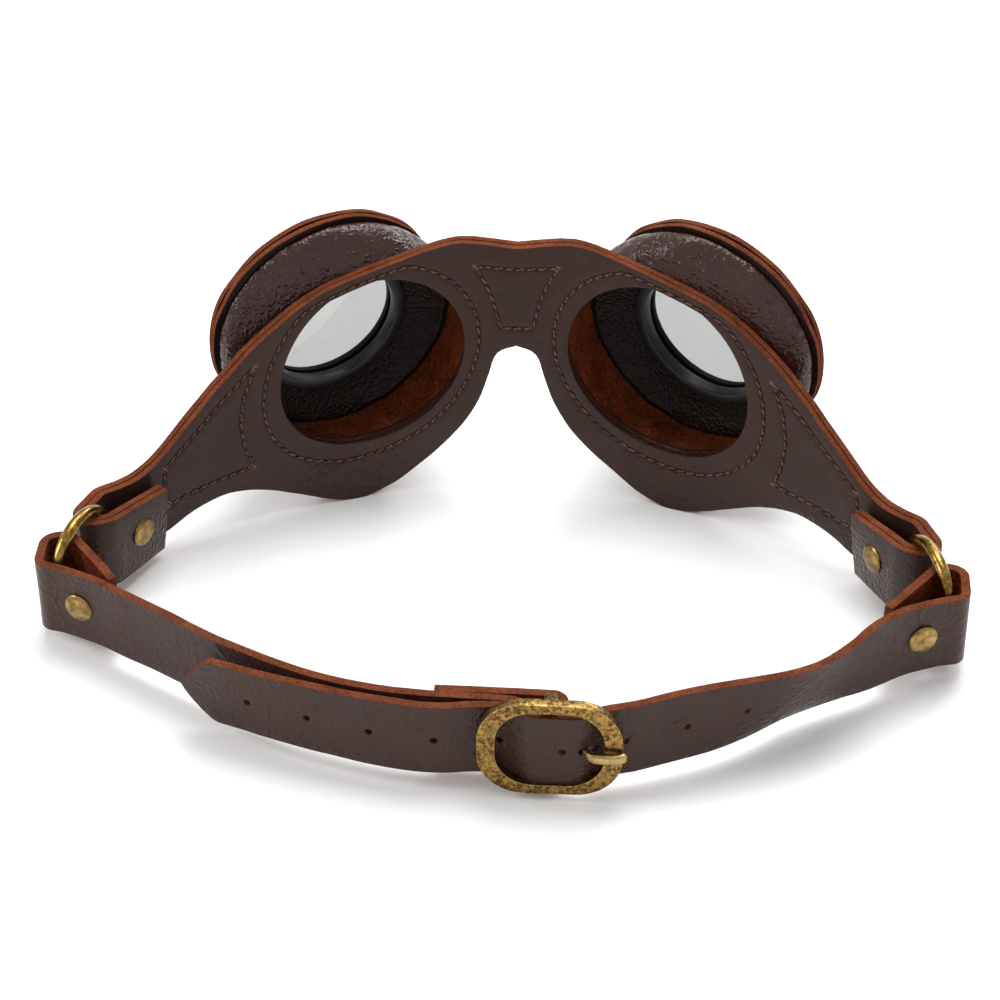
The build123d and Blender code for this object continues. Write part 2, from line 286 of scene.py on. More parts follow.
def linear(code):
    """An sRGB hex colour as linear RGBA."""
    parts = [int(code[k:k + 2], 16) / 255 for k in (1, 3, 5)]
    return [p / 12.92 if p <= 0.04045 else ((p + 0.055) / 1.055) ** 2.4 for p in parts] + [1.0]


def per_mm(size):
    """A texture's scale for a pattern of that size in millimetres, on metre coordinates."""
    return 1 / (size * MM)


def new_material(name):
    material = bpy.data.materials.new(name)
    material.use_nodes = True
    tree = material.node_tree
    surface = tree.nodes["Principled BSDF"]
    place = add_node(tree, "ShaderNodeTexCoord").outputs["Object"]
    return material, tree, surface, place


def grained_hide(name, deep, pale, roughness, pebble, pebble_depth, crease, crease_depth, shine,
                 glossy_below=None):
    """Full-grain cowhide: fine pebbles from the animal's pores, broader wrinkles where it
    bends, cloudy in tone, with a waxed finish. Between two heights given in millimetres it
    gets glossier and smoother downwards, where handling has polished it."""
    material, tree, surface, place = new_material(name)
    pores = add_node(tree, "ShaderNodeTexVoronoi", {"Scale": per_mm(pebble), "Randomness": 1.0},
                     {"Vector": place}, feature="F1", distance="EUCLIDEAN")
    wrinkle = add_node(tree, "ShaderNodeTexNoise",
                       {"Scale": per_mm(crease), "Detail": 5.0, "Roughness": 0.62,
                        "Distortion": 1.4},
                       {"Vector": place}, noise_type="RIDGED_MULTIFRACTAL", normalize=True)
    cloud = add_node(tree, "ShaderNodeTexNoise",
                     {"Scale": per_mm(16), "Detail": 4.0, "Roughness": 0.6}, {"Vector": place})
    tone = add_node(tree, "ShaderNodeMix", {"A": linear(deep), "B": linear(pale)},
                    {"Factor": cloud.outputs["Fac"]}, data_type="RGBA")
    # Along the awl grooves the tone is mixed to near black. The pressed leather is somewhat darker,
    # and the rest is painted shade of the groove.
    seam = add_node(tree, "ShaderNodeAttribute", attribute_name="seam")
    burnish_and_painted_light = add_node(tree, "ShaderNodeMix", {"B": linear("#1a0d0a")},
                    {"Factor": seam.outputs["Fac"], "A": tone.outputs["Result"]}, data_type="RGBA")
    gloss = add_node(tree, "ShaderNodeMapRange",
                     {"From Min": 0.3, "From Max": 0.7, "To Min": roughness - 0.07,
                      "To Max": roughness + 0.09}, {"Value": cloud.outputs["Fac"]})
    fine = add_node(tree, "ShaderNodeBump", {"Strength": 1.0, "Distance": pebble_depth * MM},
                    {"Height": pores.outputs["Distance"]})
    broad = add_node(tree, "ShaderNodeBump", {"Strength": 1.0, "Distance": crease_depth * MM},
                     {"Height": wrinkle.outputs["Fac"], "Normal": fine.outputs["Normal"]})
    if glossy_below:
        height = add_node(tree, "ShaderNodeSeparateXYZ", {}, {"Vector": place})
        polish_and_highlight = add_node(tree, "ShaderNodeMapRange",
                          {"From Min": glossy_below[0] * MM, "From Max": glossy_below[1] * MM,
                           "To Min": 0.26, "To Max": 1.0}, {"Value": height.outputs["Z"]})
        gloss = add_node(tree, "ShaderNodeMath", {},
                         {0: gloss.outputs["Result"], 1: polish_and_highlight.outputs["Result"]},
                         operation="MULTIPLY")
        bolder = add_node(tree, "ShaderNodeMapRange",
                          {"From Min": glossy_below[0] * MM, "From Max": glossy_below[1] * MM,
                           "To Min": 1.0, "To Max": 0.35}, {"Value": height.outputs["Z"]})
        tree.links.new(bolder.outputs["Result"], fine.inputs["Strength"])
    surface.inputs["IOR"].default_value = 1.5
    surface.inputs["Specular IOR Level"].default_value = shine
    for socket, source in (("Base Color", burnish_and_painted_light.outputs["Result"]), ("Roughness", gloss.outputs[0]),
                           ("Normal", broad.outputs["Normal"])):
        tree.links.new(source, surface.inputs[socket])
    return material


def napped_hide(name, deep, pale, fibre, depth):
    """The raw or flesh side of cowhide: torn fibres give a dry, dull and speckled face."""
    material, tree, surface, place = new_material(name)
    fibres = add_node(tree, "ShaderNodeTexNoise",
                      {"Scale": per_mm(fibre), "Detail": 6.0, "Roughness": 0.75}, {"Vector": place})
    patches = add_node(tree, "ShaderNodeTexNoise", {"Scale": per_mm(6), "Detail": 3.0},
                       {"Vector": place})
    both = add_node(tree, "ShaderNodeMath", {},
                    {0: fibres.outputs["Fac"], 1: patches.outputs["Fac"],
                     2: fibres.outputs["Fac"]}, operation="MULTIPLY_ADD")
    spread = add_node(tree, "ShaderNodeMapRange", {"From Min": 0.45, "From Max": 1.05},
                      {"Value": both.outputs["Value"]})
    tone = add_node(tree, "ShaderNodeMix", {"A": linear(deep), "B": linear(pale)},
                    {"Factor": spread.outputs["Result"]}, data_type="RGBA")
    bump = add_node(tree, "ShaderNodeBump", {"Strength": 1.0, "Distance": depth * MM},
                    {"Height": fibres.outputs["Fac"]})
    surface.inputs["Roughness"].default_value = 0.95
    surface.inputs["Specular IOR Level"].default_value = 0.05
    tree.links.new(tone.outputs["Result"], surface.inputs["Base Color"])
    tree.links.new(bump.outputs["Normal"], surface.inputs["Normal"])
    return material


mask_hide = grained_hide("mask_cowhide_grain", "#2b1a14", "#3c261e", 0.44, 0.9, 0.2, 7.0, 0.22,
                         0.24, glossy_below=(11, 21))
raw_edge = napped_hide("cowhide_cut_edge", "#3c1c0c", "#804730", 0.55, 0.15)
suede = napped_hide("cowhide_flesh_side", "#240d05", "#8a4424", 0.9, 0.5)
hide_set = [mask_hide, raw_edge, suede]


def add_piece(name, bm, materials, body, slot, *nodes):
    """Makes a finished mesh, from millimetres in the drawing to metres in the part."""
    bmesh.ops.remove_doubles(bm, verts=bm.verts[:], dist=1e-4)
    bmesh.ops.recalc_face_normals(bm, faces=bm.faces[:])
    for vert in bm.verts:
        vert.co = (vert.co + DRAWING_SHIFT) * MM
    mesh = bpy.data.meshes.new(name)
    bm.to_mesh(mesh)
    bm.free()
    for material in materials:
        mesh.materials.append(material)
    mesh.polygons.foreach_set("use_smooth", [True] * len(mesh.polygons))
    mesh.set_sharp_from_angle(angle=math.radians(38))
    piece = bpy.data.objects.new(name, mesh)
    bpy.context.scene.collection.objects.link(piece)
    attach(piece, body)
    if nodes:
        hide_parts(*nodes)
    return piece


def bend(bm, where):
    for vert in bm.verts:
        vert.co = where(*(vert.co[k] for k in (0, 2, 1)))


top_edge = [(0, 67.5), (13, 68.8), (22, 66.6), (34, 62.1), (47, 57.2), (59, 49.0), (67, 41.2),
            (76, 31.8), (82, 25.4)]
low_edge = [(82, 5.3), (75, 8.4), (68, 9.6), (61, 8.0), (53, 4.4), (46, 1.4), (38, 0.0),
            (31, 2.0), (24.5, 6.6), (18.5, 12.0), (13, 18.4), (9, 25.4), (6.5, 33.0),
            (4.5, 38.8), (0, 41)]
leaf_end = mask_route.length
top_cut = [(along_mask(x), z) for x, z in top_edge]
low_cut = [(along_mask(x), z) for x, z in low_edge]
tab_top = [(along_mask(82) + 5, 22.9), (along_mask(82) + 10, 22.3)]
tab_low = [(along_mask(82) + 10, 4.3), (along_mask(82) + 5, 4.6)]
tab_long = [leaf_end - 3.0 * k for k in range(1, 14) if leaf_end - 3.0 * k > tab_top[1][0] + 2]


def mask_outline(leaf_cut):
    """The whole flat outline. leaf_cut is how much shorter the folded-back end is."""
    end = leaf_end - leaf_cut
    half = through([*top_cut, *tab_top], 4)
    half += [Vector((u, mid_height + tab_half)) for u in reversed(tab_long)]
    half += [Vector((end, mid_height + tab_half)), Vector((end + 0.2, mid_height + 3)),
             Vector((end + 0.3, mid_height - 4)), Vector((end, mid_height - tab_half))]
    half += [Vector((u, mid_height - tab_half)) for u in tab_long]
    half += through([*tab_low, *low_cut], 4)
    for k, spot in enumerate(half[1:-1]):
        spot.y += 0.16 * noise.noise(Vector((spot.x / 5, spot.y / 9, 4.0 + leaf_cut)))
    return half + [Vector((-p.x, p.y)) for p in reversed(half[1:-1])]


eye_u, eye_z = along_mask(34.3), 37.6
eye_half_long, eye_half_short, eye_lean = 24.5, 20.2, 45.0
seam_half_long, seam_half_short = 29.4, 22.9
eye_cut = oval((eye_u, eye_z), eye_half_long, eye_half_short, eye_lean)
eye_seam = oval((eye_u + 0.5, eye_z - 0.5), seam_half_long, seam_half_short, eye_lean, 120)
seam_margin = 2.0                            # sewing stays this far inside the top edge, mm
for spot in eye_seam:
    for (u0, z0), (u1, z1) in zip(top_cut, top_cut[1:]):
        if u0 <= spot.x <= u1:
            spot.y = min(spot.y, z0 + (z1 - z0) * (spot.x - u0) / (u1 - u0) - seam_margin)
bridge_seam = through([(9.7, 62.6), (7.0, 57.5), (5.6, 53.6), (4.6, 49.5), (3.9, 45.8)], 3)
bridge_seam = bridge_seam + [Vector((-p.x, p.y)) for p in reversed(bridge_seam)]
bridge_seam += [Vector((-4.8, 62.1)), Vector((0, 61.9)), Vector((4.8, 62.1))]
side_seam = [Vector(p) for p in
             ((63, 43), (69.5, 37.8), (76, 32.4), (82, 27.6), (88, 22.8), (88.6, 18), (88, 12.6),
              (80, 13.6), (72, 14.4), (65, 15.2), (67, 21), (67.6, 28), (66.4, 35))]
mask_seams = [(eye_seam, [eye_cut]), (other_side(eye_seam), [other_side(eye_cut)]),
              (side_seam, []), (other_side(side_seam), []), (bridge_seam, [])]


def eye_rim(u, z):
    """Whether a flat point is on an eye opening's rim, whose cut edge gets the grain colour."""
    c, s = math.cos(math.radians(eye_lean)), math.sin(math.radians(eye_lean))
    along, across = (u - eye_u) * c - (z - eye_z) * s, (u - eye_u) * s + (z - eye_z) * c
    return math.hypot(along / eye_half_long, across / eye_half_short) < 1.03


fold_cuts = [(leaf_start - 22, mask_route.length, 0.75),
             (-mask_route.length, 22 - leaf_start, 0.75)]
bm = cut_hide(mask_outline(0.0), [], mask_seams, fine=fold_cuts)
thicken(bm, -hide_to, -hide_from, darkened_edge=eye_rim)
bend(bm, on_mask)
add_piece("mask_inner_hide", bm, hide_set, "mask", "brown_leather", "mask_inner_layer")

# Mask, outer layer: the same cut in a second hide, grain side forward, glued and sewn to
# the first. Their raw edges show side by side with a dark line between.
bm = cut_hide(mask_outline(0.6), [eye_cut, other_side(eye_cut)], fine=fold_cuts)
thicken(bm, hide_to, hide_from, darkened_edge=eye_rim)
bend(bm, on_mask)
add_piece("mask_outer_hide", bm, hide_set, "mask", "brown_leather", "mask_outer_layer")

# Patches on the front: one over the nose bridge and one beside each eye, cut from the same
# hide and sewn through both layers, so that each seam also shows on the head side.
patch_from, patch_to = 1.76, 3.35
patch_seam_in = 1.6                          # how far a patch's sewing is inside its edge, mm
patch_hide = grained_hide("patch_cowhide_grain", "#2a1a17", "#3d2a26", 0.44, 0.9, 0.08, 6.0, 0.2,
                          0.24)
bridge_cut = [Vector(p) for p in ((10.5, 63.0), (6.2, 52.0), (4.4, 42.5), (-4.4, 42.5),
                                  (-6.2, 52.0), (-10.5, 63.0), (0, 62.2))]
side_cut = [Vector((along_mask(x), z)) for x, z in
            ((61.5, 42.0), (80.5, 22.5), (80.5, 12.0), (63.5, 14.5))]


def patch_seam(cut):
    """The line that a patch is sewn along."""
    return grown(spaced(cut, 2.0), -patch_seam_in)


for name, cut, node in (
    ("bridge_patch_hide", bridge_cut, "bridge_patch"),
    ("side_patch_hide_right", side_cut, "side_patch_right"),
    ("side_patch_hide_left", other_side(side_cut), "side_patch_left"),
):
    bm = cut_hide(spaced(cut, 1.6), [], [(patch_seam(cut), [])])
    thicken(bm, patch_to, patch_from)
    bend(bm, on_mask)
    add_piece(name, bm, [patch_hide, raw_edge, suede], "mask", "brown_leather", node)

# Stitches: waxed red-brown thread, one short twisted stitch after another along each awl
# line, with a few laid over each other where the sewing starts and stops.
stitch_pitch = 2.55
stitch_long = 2.35
thread_radius = 0.31
stitch_lay = math.radians(9)
thread, tree, surface, place = new_material("waxed_polyester_thread")
ply = add_node(tree, "ShaderNodeTexWave", {"Scale": per_mm(2.4), "Distortion": 1.5, "Detail": 1.0},
               {"Vector": place}, wave_type="BANDS", bands_direction="DIAGONAL")
tone = add_node(tree, "ShaderNodeMix", {"A": linear("#29110b"), "B": linear("#74402d")},
                {"Factor": ply.outputs["Fac"]}, data_type="RGBA")
tree.links.new(tone.outputs["Result"], surface.inputs["Base Color"])
surface.inputs["Roughness"].default_value = 0.55


def lay_stitch(bm, spot, along, out, length, turn):
    """One stitch, a slim bead half sunk in the leather."""
    side = out.cross(along).normalized()
    basis = Matrix((along, side, out)).transposed().to_4x4()
    size = Matrix.Diagonal((length / 2, thread_radius, thread_radius * 0.8, 1))
    matrix = Matrix.Translation(spot) @ basis @ Matrix.Rotation(turn, 4, "Z") @ size
    bmesh.ops.create_uvsphere(bm, u_segments=7, v_segments=5, radius=1, matrix=matrix)


def sew(name, line, where, grain_t, knots=()):
    """A row of stitches along a flat line on a bent hide."""
    bm = bmesh.new()
    sign = math.copysign(1, grain_t)
    line = spaced(line, stitch_pitch)
    rows = [(a, b, stitch_lay, stitch_long) for a, b in zip(line, line[1:] + line[:1])]
    for corner in knots:
        spot = Vector(corner)
        for angle in (0.3, 1.2, 2.2):
            reach = Vector((math.cos(angle), math.sin(angle)))
            rows.append((spot - reach, spot + reach, 0, 2.4))
    for a, b, lay, length in rows:
        ends = [where(p.x, p.y, grain_t - sign * 0.12) for p in (a, b)]
        middle = (a + b) / 2
        out = where(middle.x, middle.y, grain_t + sign) - where(middle.x, middle.y, grain_t)
        along = (ends[1] - ends[0]).normalized()
        out = (out - along * out.dot(along)).normalized()
        lay_stitch(bm, (ends[0] + ends[1]) / 2, along, out, length, lay)
    add_piece(name, bm, [thread], "mask", "brown_leather")


for side, flip in (("right", list), ("left", other_side)):
    sew(f"eye_stitches_{side}", flip(eye_seam), on_mask, -hide_to)
    corners = flip([side_seam[0], side_seam[4], side_seam[6], side_seam[9]])
    sew(f"side_patch_stitches_{side}", flip(side_seam), on_mask, -hide_to, corners)
    sew(f"side_patch_front_stitches_{side}", flip(patch_seam(side_cut)), on_mask, patch_to)
sew("bridge_stitches", bridge_seam, on_mask, -hide_to, [bridge_seam[0], (-9.7, 62.6)])
sew("bridge_front_stitches", patch_seam(bridge_cut), on_mask, patch_to)

# Cup walls: soft glossy cowhide stretched from round the eye opening to the brim, so that
# it bellies out and wrinkles. Inside, its flesh side shows as suede.
cup_yaw, cup_pitch = math.radians(31), math.radians(9)
brim_middle = Vector((47.0, 48.5, 43.0))
cup_out = Vector((math.sin(cup_yaw) * math.cos(cup_pitch), math.cos(cup_yaw) * math.cos(cup_pitch),
                  math.sin(cup_pitch)))
cup_level = Vector((cup_out.y, -cup_out.x, 0)).normalized()
cup_up = cup_level.cross(cup_out)
cup_frame = Matrix.Translation(brim_middle) @ Matrix(
    (cup_level, cup_up, cup_out)).transposed().to_4x4()
as_drawn, mirror_x = Matrix.Identity(4), Matrix.Diagonal((-1, 1, 1, 1))
both_sides = (("right", as_drawn), ("left", mirror_x))
root_half_long, root_half_short = 26.1, 21.8
wall_radius, wall_depth = 27.2, -3.3         # of its end at the brim, on the cup's axis, mm
wall_thick = 1.5
wall_rings, wall_points = 16, 144
belly = 2.7                                  # how far it swells out nearer the brim, mm
cup_hide = grained_hide("cup_cowhide_grain", "#240f0a", "#3e1d14", 0.27, 0.9, 0.1, 2.2, 0.5, 0.42)


def cup_spot(turn, share, inset):
    """A point of a cup wall, round it by an angle and from the mask 0 to the brim 1."""
    c, s = math.cos(math.radians(eye_lean)), math.sin(math.radians(eye_lean))
    a = (root_half_long - inset) * math.cos(turn)
    b = (root_half_short - inset) * math.sin(turn)
    root = on_mask(eye_u + a * c - b * s, eye_z - a * s - b * c, hide_to + 0.05)
    angle = turn + math.radians(eye_lean)
    radius = wall_radius - inset
    rim = cup_frame @ Vector((radius * math.cos(angle), -radius * math.sin(angle), wall_depth))
    swell = belly * math.sin(math.pi * share ** 1.5) ** 0.7
    pleat = noise.noise(Vector((5.5 * math.cos(turn), 5.5 * math.sin(turn), share * 1.6)))
    fine = noise.noise(Vector((14 * math.cos(turn), 14 * math.sin(turn), share * 4)))
    swell += (0.55 * pleat + 0.22 * fine) * math.sin(math.pi * share) ** 0.5
    middle = Vector((eye_u - 0.9, 35.7, eye_z)).lerp(brim_middle, share)
    spot = root.lerp(rim, share)
    away = spot - middle
    away -= cup_out * away.dot(cup_out)
    return spot + away.normalized() * swell


def ring_of(bm, spots):
    """A closed ring of vertices, each moved to its spot."""
    made = bmesh.ops.create_circle(bm, segments=len(spots), radius=1)["verts"]
    for vert, spot in zip(made, spots):
        vert.co = spot
    return list({e for v in made for e in v.link_edges})


for side, flip in both_sides:
    outer, inner = [], []
    for k in range(wall_rings + 1):
        turns = [2 * math.pi * j / wall_points for j in range(wall_points)]
        outer.append([cup_spot(turn, k / wall_rings, 0) for turn in turns])
        inner.append([cup_spot(turn, k / wall_rings, wall_thick) for turn in turns])
    bm = bmesh.new()
    loops = [ring_of(bm, spots) for spots in [*outer, *reversed(inner)]]
    for k, (one, two) in enumerate(zip(loops, loops[1:] + loops[:1])):
        for face in bmesh.ops.bridge_loops(bm, edges=one + two)["faces"]:
            face.material_index = (0 if k < wall_rings else
                                   1 if k in (wall_rings, 2 * wall_rings + 1) else 2)
    bmesh.ops.transform(bm, matrix=flip, verts=bm.verts[:])
    add_piece(f"cup_wall_hide_{side}", bm, [cup_hide, raw_edge, suede], "mask", "brown_leather",
              f"cup_wall_{side}")

# Brims: two rings of the mask's hide on each cup, glued grain side out, wider than the wall
# and wavy from hand cutting. The front ring's smaller opening holds the glass.
brim_rings = (("front", 16.6, 29.0, -1.47, 0.0), ("back", 18.6, 29.1, -3.2, -1.78))
brim_corner, brim_wave, wave_from = 0.28, 0.45, 24.0
dark_edge_within = 22.0                           # the openings' edges get the grain colour, the outer ones are raw edge
brim_hide = grained_hide("brim_cowhide_grain", "#150b08", "#241410", 0.5, 0.9, 0.06, 6.0, 0.2,
                         0.12)


def spun(profile, count, matrix, wave=0.0, edge_from=None):
    """A ring turned from a closed profile of radius and depth along its axis. Beyond the
    radius edge_from, its sides are raw edge."""
    bm = bmesh.new()
    verts = [bm.verts.new((r, 0, s)) for r, s in profile]
    edges = [bm.edges.new((a, b)) for a, b in zip(verts, verts[1:] + verts[:1])]
    bmesh.ops.spin(bm, geom=verts + edges, cent=(0, 0, 0), axis=(0, 0, 1), dvec=(0, 0, 0),
                   angle=2 * math.pi, steps=count, use_merge=True)
    bmesh.ops.remove_doubles(bm, verts=bm.verts[:], dist=1e-4)
    bmesh.ops.recalc_face_normals(bm, faces=bm.faces[:])
    bm.normal_update()
    if edge_from:
        for face in bm.faces:
            outside = face.calc_center_median().to_2d().length > edge_from
            face.material_index = 1 if outside and abs(face.normal.z) < 0.75 else 0
    if wave:
        for vert in bm.verts:
            flat = Vector((vert.co.x, vert.co.y, 0))
            if flat.length > wave_from:
                push = wave * noise.noise(flat.normalized() * 3.2 + Vector((0, 0, profile[0][1])))
                vert.co += flat.normalized() * push
                vert.co.z += 0.7 * wave * noise.noise(flat.normalized() * 2.1)
    bmesh.ops.transform(bm, matrix=matrix, verts=bm.verts[:])
    return bm


def softened(inner, outer, back, front, corner):
    """A closed rectangular profile with its four corners cut and rounded."""
    k = corner * 0.3
    return [(inner + corner, back), (outer - corner, back), (outer - k, back + k),
            (outer, back + corner), (outer, front - corner), (outer - k, front - k),
            (outer - corner, front),
            (inner + corner, front), (inner + k, front - k), (inner, front - corner),
            (inner, back + corner), (inner + k, back + k)]


for side, flip in both_sides:
    place_cup = flip @ cup_frame
    for layer, inner, outer, back, front in brim_rings:
        bm = spun(softened(inner, outer, back, front, brim_corner), 160, place_cup, brim_wave,
                  dark_edge_within)
        add_piece(f"brim_{layer}_hide_{side}", bm, [brim_hide, raw_edge], "mask", "brown_leather",
                  f"brim_{layer}_{side}")

# Cup linings: a band of smooth dark hide glued inside each cup, from the black ring back
# towards the eye, grain side in. Its edges are given its grain side's dark colour.
lining_hide = grained_hide("lining_cowhide_grain", "#100705", "#1f100c", 0.36, 0.8, 0.25, 5.0,
                           0.1, 0.16)
lining_thick = 1.1
lining_from, lining_share = 0.62, 0.2        # where it starts on the wall, and its share of it
lining_off = 0.5                             # its distance from the wall, mm
lining_rim, lining_depth = 19.7, -5.6        # its end behind the black ring, mm
for side, flip in both_sides:
    bm = bmesh.new()
    turns = [2 * math.pi * j / 96 for j in range(96)]
    rim_turns = [turn + math.radians(eye_lean) for turn in turns]
    rows = []
    for share in (0.0, 0.34, 0.67, 1.0):
        at_wall = [cup_spot(turn, lining_from + lining_share * share, wall_thick + lining_off)
                   for turn in turns]
        rim = [cup_frame @ Vector((lining_rim * math.cos(a), -lining_rim * math.sin(a),
                                   lining_depth)) for a in rim_turns]
        rows.append([p.lerp(q, share ** 1.2) for p, q in zip(at_wall, rim)])
    inner_rows = []
    for row in rows:
        centre = sum(row, Vector()) / len(row)
        inner_rows.append([p + (centre - p).normalized() * lining_thick for p in row])
    loops = [ring_of(bm, spots) for spots in [*inner_rows, *reversed(rows)]]
    for k, (one, two) in enumerate(zip(loops, loops[1:] + loops[:1])):
        for face in bmesh.ops.bridge_loops(bm, edges=one + two)["faces"]:
            face.material_index = 2 if 3 < k < 7 else 0
    bmesh.ops.transform(bm, matrix=flip, verts=bm.verts[:])
    add_piece(f"cup_lining_hide_{side}", bm, [lining_hide, raw_edge, suede], "mask",
              "brown_leather", f"cup_collar_{side}")

# Lens rings and glass: a satin black moulded ring pressed in behind each flat clear glass.
# The ring is finely scuffed, and the glass is thinly smeared from handling.
ring_profile = (16.3, 19.0, -6.9, -3.7)      # inner and outer radius, back and front, mm
glass_radius, glass_back, glass_front = 18.5, -3.65, -1.65
glass_corner = 0.2
black_ring, tree, surface, place = new_material("moulded_abs_black")
scuff = add_node(tree, "ShaderNodeTexNoise", {"Scale": per_mm(3), "Detail": 4.0}, {"Vector": place})
dull = add_node(tree, "ShaderNodeMapRange", {"To Min": 0.34, "To Max": 0.5},
                {"Value": scuff.outputs["Fac"]})
tree.links.new(dull.outputs["Result"], surface.inputs["Roughness"])
surface.inputs["Base Color"].default_value = linear("#16181a")
surface.inputs["IOR"].default_value = 1.53

glass, tree, surface, place = new_material("float_glass_clear")
surface.inputs["Base Color"].default_value = linear("#a3a4a2")
surface.inputs["Transmission Weight"].default_value = 1.0
surface.inputs["IOR"].default_value = 1.52
smear = add_node(tree, "ShaderNodeTexNoise", {"Scale": per_mm(9), "Detail": 3.0}, {"Vector": place})
haze = add_node(tree, "ShaderNodeMapRange", {"To Min": 0.0, "To Max": 0.05},
                {"Value": smear.outputs["Fac"]})
tree.links.new(haze.outputs["Result"], surface.inputs["Roughness"])
for side, flip in both_sides:
    place_cup = flip @ cup_frame
    bm = spun(softened(*ring_profile, 0.4), 128, place_cup)
    add_piece(f"lens_ring_{side}", bm, [black_ring], "mask", "black_plastic",
              f"lens_retainer_{side}")
    bm = spun([(0.0, glass_back), (glass_radius - glass_corner, glass_back),
               (glass_radius, glass_back + glass_corner),
               (glass_radius, glass_front - glass_corner),
               (glass_radius - glass_corner, glass_front), (0.0, glass_front)], 96, place_cup)
    add_piece(f"lens_glass_{side}", bm, [glass], "mask", "clear_glass", f"lens_{side}")

# Rings: solid brass wire bent round and brazed, worn bright, each standing on edge through
# its tab and strap.
ring_middle = 11.8
wire_radius = 1.4


def aged_brass(name, deep, pale, bright, roughness, spot_mm):
    """Yellow brass with an antique finish: dark patina left in the hollows, and finely pitted.
    Where a vertex attribute marks it, the tone is mixed brighter: metal rubbed bright by
    handling, and on the buckle's bevels also a painted highlight."""
    material, tree, surface, place = new_material(name)
    patina = add_node(tree, "ShaderNodeTexNoise",
                      {"Scale": per_mm(spot_mm), "Detail": 8.0, "Roughness": 0.7},
                      {"Vector": place})
    pits = add_node(tree, "ShaderNodeTexVoronoi", {"Scale": per_mm(0.7)}, {"Vector": place})
    stain = add_node(tree, "ShaderNodeMapRange", {"From Min": 0.42, "From Max": 0.6},
                     {"Value": patina.outputs["Fac"]})
    tone = add_node(tree, "ShaderNodeMix", {"A": linear(deep), "B": linear(pale)},
                    {"Factor": stain.outputs["Result"]}, data_type="RGBA")
    # Marked vertices are mixed to a bright tone: rubbed metal, and on the buckle's bevels a painted
    # highlight.
    burnish_and_painted_light = add_node(tree, "ShaderNodeAttribute", attribute_name="burnish_and_painted_light")
    polish_and_highlight = add_node(tree, "ShaderNodeMix", {"B": linear(bright)},
                      {"Factor": burnish_and_painted_light.outputs["Fac"], "A": tone.outputs["Result"]},
                      data_type="RGBA")
    dull = add_node(tree, "ShaderNodeMapRange",
                    {"To Min": roughness + 0.12, "To Max": roughness - 0.06},
                    {"Value": patina.outputs["Fac"]})
    bump = add_node(tree, "ShaderNodeBump", {"Strength": 0.6, "Distance": 0.03 * MM},
                    {"Height": pits.outputs["Distance"]})
    surface.inputs["Metallic"].default_value = 1.0
    for socket, source in (("Base Color", polish_and_highlight.outputs["Result"]),
                           ("Roughness", dull.outputs["Result"]),
                           ("Normal", bump.outputs["Normal"])):
        tree.links.new(source, surface.inputs[socket])
    return material


ring_brass = aged_brass("polished_antique_brass", "#6b4f22", "#b09050", "#dccba0", 0.22, 3.0)
ring_across = Vector((math.sin(ring_turn), math.cos(ring_turn), 0))
ring_along = Vector((math.cos(ring_turn), -math.sin(ring_turn), 0))
ring_frame = Matrix.Translation((*ring_place, mid_height)) @ Matrix(
    (ring_along, Vector((0, 0, 1)), ring_across)).transposed().to_4x4()
for side, flip in both_sides:
    wire = [(ring_middle + wire_radius * math.cos(a), wire_radius * math.sin(a))
            for a in (2 * math.pi * k / 20 for k in range(20))]
    bm = spun(wire, 96, flip @ ring_frame)
    add_piece(f"ring_wire_{side}", bm, [ring_brass], f"ring_{side}", "antique_brass",
              f"ring_{side}")

# Strap: one thick strip of the same hide on each side, folded round its ring and riveted.
# The right half has the holes and the blunt point, and leans outward as it turns back.
strap_half = 1.0
strap_steps = (1.4, 3.0)                     # scoring along and across the strap, mm
ring_fold = (12, 42, 0.6)                    # from, to and spacing of the finer scoring, mm
strap_hide = grained_hide("strap_cowhide_grain", "#2b1914", "#412a22", 0.38, 1.0, 0.12, 4.0,
                          0.45, 0.26)
loop_plan = [Vector((85.3, -31.6)), ring_point(2.1, 1.2), ring_point(5.7, 5.7),
             ring_point(ring_middle, 0) + Vector((2.8, -2.0)),
             ring_point(ring_middle, 0) + Vector((-1.5, -3.0))]
right_plan = [(89.5, -31.7), (83.5, -36.4), (76.5, -42.7), (69.0, -48.6), (60.5, -54.0),
              (50, -59.4), (40, -63.6), (32.0, -67.4), (24.2, -69.4), (20.0, -72.7),
              (9.5, -72.7), (4.5, -69.4), (-3.2, -69.6), (-8.5, -70.5), (-15, -70.4),
              (-25, -68.6), (-38, -65.2), (-51, -60.9), (-66.8, -55.0)]
left_plan = [(-89.5, -31.8), (-82.0, -36.4), (-72.0, -42.7), (-60.0, -50.3), (-48.0, -57.2),
             (-37, -61.8), (-26, -65.0), (-14, -66.7), (0, -67.0), (6.5, -67.5), (10.3, -70.4),
             (16.1, -70.4), (16.1, -65.2), (6.0, -64.75), (-11.4, -64.7)]


def soft_route(points):
    """A plan route with every corner rounded as widely as its two runs allow."""
    corners, radii = [Vector(p) for p in points], []
    for before, corner, after in zip(corners, corners[1:], corners[2:]):
        turn = (corner - before).angle(after - corner)
        shorter = min((corner - before).length, (after - corner).length)
        radii.append(0.45 * shorter / math.tan(turn / 2))
    return Route(corners, radii)


right_route = soft_route([*loop_plan, *right_plan])
left_route = soft_route([*[Vector((-p.x, p.y)) for p in loop_plan], *left_plan])


def on_right_strap(s, z, t):
    """A point of the right half: s along it, z up and t outward from its middle."""
    place, left = right_route.at(s)
    loop = 1 if s > 50 else 0
    lean = 7.0 * math.exp(-(((place.x - 67) / 13) ** 2)) * loop * min(1, max(0, (s - 50) / 14))
    tongue = min(max((-20 - place.x) / 40, 0), 1)
    ripple = noise.noise(Vector((s / 13, z / 16, 7.0)))
    t += (lean + 1.8 * tongue) * (z - mid_height) / (2 * tab_half) + 0.22 * ripple
    return Vector((place.x + left.x * t, place.y + left.y * t, z))


